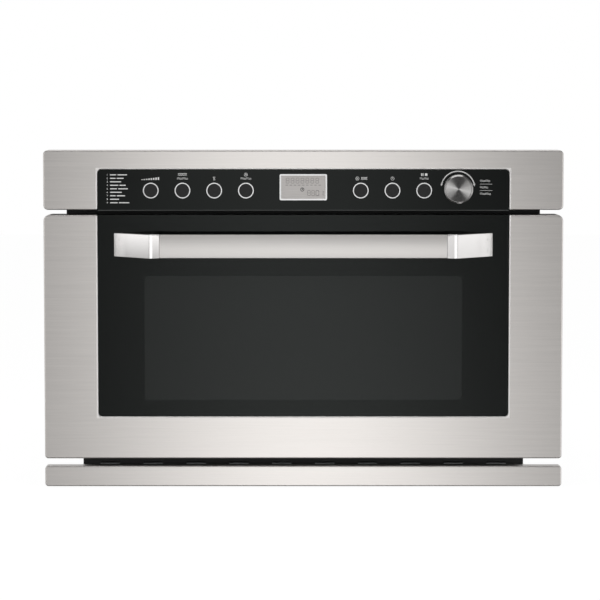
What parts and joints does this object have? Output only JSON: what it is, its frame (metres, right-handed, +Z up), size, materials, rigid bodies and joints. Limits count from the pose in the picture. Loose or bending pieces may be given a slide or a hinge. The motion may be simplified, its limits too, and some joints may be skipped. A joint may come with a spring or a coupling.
{
  "type": "built-in microwave",
  "caption": "Built-in stainless combination microwave with a drop-down black glass door, bar handle, ringed buttons, display and rotary knob.",
  "frame": {"origin": "on the shelf under the base plate, midway across the front, in the plane of the cabinet face", "axes": "+X to the right seen from the front, +Y into the cabinet, +Z up; the door faces -Y"},
  "size_m": [0.758, 0.6, 0.4942],
  "materials": {
    "stainless": "horizontal brushed grain",
    "handle_steel": "fine satin",
    "bright_steel": "bright satin",
    "black_glass": "black printed glass",
    "clear_glass": "clear",
    "tray_glass": "clear",
    "silver_trim": "satin chrome",
    "knob_metal": "spun face",
    "display": "liquid crystal panel",
    "button_black": "gloss",
    "black_plastic": "fine grain",
    "black_paint": "satin paint",
    "galvanised": "galvanised sheet",
    "cavity_enamel": "grey oven enamel",
    "screen_black": "perforated, satin black",
    "mica": "mica sheet",
    "heater_steel": "oxidised",
    "motor_steel": "zinc plated",
    "fan_metal": "plain",
    "core_steel": "varnished laminations",
    "grey_plastic": "plain",
    "board_green": "solder mask",
    "screw_zinc": "zinc plated",
    "lamp_white": "white"
  },
  "bodies": {
    "casing": {"control_fascia": "stainless", "lower_trim": "stainless", "control_glass": "black_glass", "panel_trims": "silver_trim", "display_screen": "display", "vent_grille": "black_plastic", "control_housing": "black_plastic", "cord_gland": "black_plastic", "front_plate": "black_paint", "mounting_flanges": "black_paint", "outer_cover": "galvanised", "base_plate": "galvanised", "back_panel": "galvanised", "hot_air_cover": "galvanised", "waveguide": "galvanised", "chassis_hinges": "galvanised", "cavity": "cavity_enamel", "waveguide_cover": "mica", "grill_element": "heater_steel", "convection_heater": "heater_steel", "turntable_motor": "motor_steel", "convection_motor": "motor_steel", "magnetron": "motor_steel", "hv_capacitor": "motor_steel", "transformer": "core_steel", "cooling_fan_housing": "grey_plastic", "interlock_switches": "grey_plastic", "control_board": "board_green", "chassis_screws": "screw_zinc", "cavity_lamp": "lamp_white"},
    "door": {"door_skin": "stainless", "door_glass": "black_glass", "door_liner": "black_plastic", "door_inner_panel": "cavity_enamel", "window_screen": "screen_black", "door_inner_glass": "clear_glass", "handle_bar": "handle_steel", "handle_brackets": "bright_steel", "door_screws": "screw_zinc", "door_hinge_leaves": "galvanised", "hinge_springs": "screw_zinc"},
    "latch_left": {"latch_left": "black_plastic"},
    "latch_right": {"latch_right": "black_plastic"},
    "dial_shaft": {"encoder_shaft": "screw_zinc"},
    "dial_knob": {"knob": "knob_metal"},
    "turntable": {"turntable_coupling": "grey_plastic", "turntable_tray": "tray_glass"},
    "rollers": {"roller_ring": "grey_plastic"},
    "hot_air_wheel": {"convection_fan": "fan_metal"},
    "cooling_wheel": {"cooling_fan": "grey_plastic"},
    "key_1": {"button_1": "button_black"},
    "key_2": {"button_2": "button_black"},
    "key_3": {"button_3": "button_black"},
    "key_4": {"button_4": "button_black"},
    "key_5": {"button_5": "button_black"},
    "key_6": {"button_6": "button_black"},
    "key_7": {"button_7": "button_black"},
    "roller_1": {"roller_wheel_1": "grey_plastic"},
    "roller_2": {"roller_wheel_2": "grey_plastic"},
    "roller_3": {"roller_wheel_3": "grey_plastic"}
  },
  "joints": [
    {"name": "door_drop", "type": "hinge", "parent": "casing", "child": "door", "pos_m": [0, -0.027, 0.0647], "axis": [1, 0, 0], "range_deg": [0, 88], "stiffness_Nm_per_rad": 7, "springref_deg": -25.78},
    {"name": "latch_lift_left", "type": "hinge", "parent": "door", "child": "latch_left", "pos_m": [-0.27, -0.0182, 0.3722], "axis": [1, 0, 0], "range_deg": [0, 10], "stiffness_Nm_per_rad": 0.3, "springref_deg": -11.46},
    {"name": "latch_lift_right", "type": "hinge", "parent": "door", "child": "latch_right", "pos_m": [0.27, -0.0182, 0.3722], "axis": [1, 0, 0], "range_deg": [0, 10], "stiffness_Nm_per_rad": 0.3, "springref_deg": -11.46},
    {"name": "press_1", "type": "slide", "parent": "casing", "child": "key_1", "axis": [0, 1, 0], "range_m": [0, 0.0012], "stiffness_N_per_m": 400, "springref_m": -0.002},
    {"name": "press_2", "type": "slide", "parent": "casing", "child": "key_2", "axis": [0, 1, 0], "range_m": [0, 0.0012], "stiffness_N_per_m": 400, "springref_m": -0.002},
    {"name": "press_3", "type": "slide", "parent": "casing", "child": "key_3", "axis": [0, 1, 0], "range_m": [0, 0.0012], "stiffness_N_per_m": 400, "springref_m": -0.002},
    {"name": "press_4", "type": "slide", "parent": "casing", "child": "key_4", "axis": [0, 1, 0], "range_m": [0, 0.0012], "stiffness_N_per_m": 400, "springref_m": -0.002},
    {"name": "press_5", "type": "slide", "parent": "casing", "child": "key_5", "axis": [0, 1, 0], "range_m": [0, 0.0012], "stiffness_N_per_m": 400, "springref_m": -0.002},
    {"name": "press_6", "type": "slide", "parent": "casing", "child": "key_6", "axis": [0, 1, 0], "range_m": [0, 0.0012], "stiffness_N_per_m": 400, "springref_m": -0.002},
    {"name": "press_7", "type": "slide", "parent": "casing", "child": "key_7", "axis": [0, 1, 0], "range_m": [0, 0.0012], "stiffness_N_per_m": 400, "springref_m": -0.002},
    {"name": "dial_turn", "type": "hinge", "parent": "casing", "child": "dial_shaft", "pos_m": [0.22515, -0.0443, 0.4384], "axis": [0, 1, 0], "continuous": true},
    {"name": "dial_press", "type": "slide", "parent": "dial_shaft", "child": "dial_knob", "axis": [0, 1, 0], "range_m": [0, 0.001], "stiffness_N_per_m": 600, "springref_m": -0.002},
    {"name": "table_turn", "type": "hinge", "parent": "casing", "child": "turntable", "pos_m": [0, 0.2, 0.10694], "axis": [0, 0, 1], "continuous": true},
    {"name": "roller_ring_turn", "type": "hinge", "parent": "casing", "child": "rollers", "pos_m": [0, 0.2, 0.11444], "axis": [0, 0, 1], "continuous": true},
    {"name": "roller_spin_1", "type": "hinge", "parent": "rollers", "child": "roller_1", "pos_m": [0.112, 0.2, 0.11444], "axis": [1, 0, 0], "continuous": true},
    {"name": "roller_spin_2", "type": "hinge", "parent": "rollers", "child": "roller_2", "pos_m": [-0.056, 0.297, 0.11444], "axis": [-0.5, 0.866, 0], "continuous": true},
    {"name": "roller_spin_3", "type": "hinge", "parent": "rollers", "child": "roller_3", "pos_m": [-0.056, 0.103, 0.11444], "axis": [-0.5, -0.866, 0], "continuous": true},
    {"name": "hot_air_spin", "type": "hinge", "parent": "casing", "child": "hot_air_wheel", "pos_m": [0, 0.437, 0.21995], "axis": [0, 1, 0], "continuous": true},
    {"name": "cooling_spin", "type": "hinge", "parent": "casing", "child": "cooling_wheel", "pos_m": [0.19, 0.47, 0.406], "axis": [0, 1, 0], "continuous": true}
  ],
  "couplings": [
    {"joint": "roller_ring_turn", "follows": "table_turn", "ratio": 0.5},
    {"joint": "roller_spin_1", "follows": "table_turn", "ratio": -7.7778},
    {"joint": "roller_spin_2", "follows": "table_turn", "ratio": -7.7778},
    {"joint": "roller_spin_3", "follows": "table_turn", "ratio": -7.7778}
  ]
}
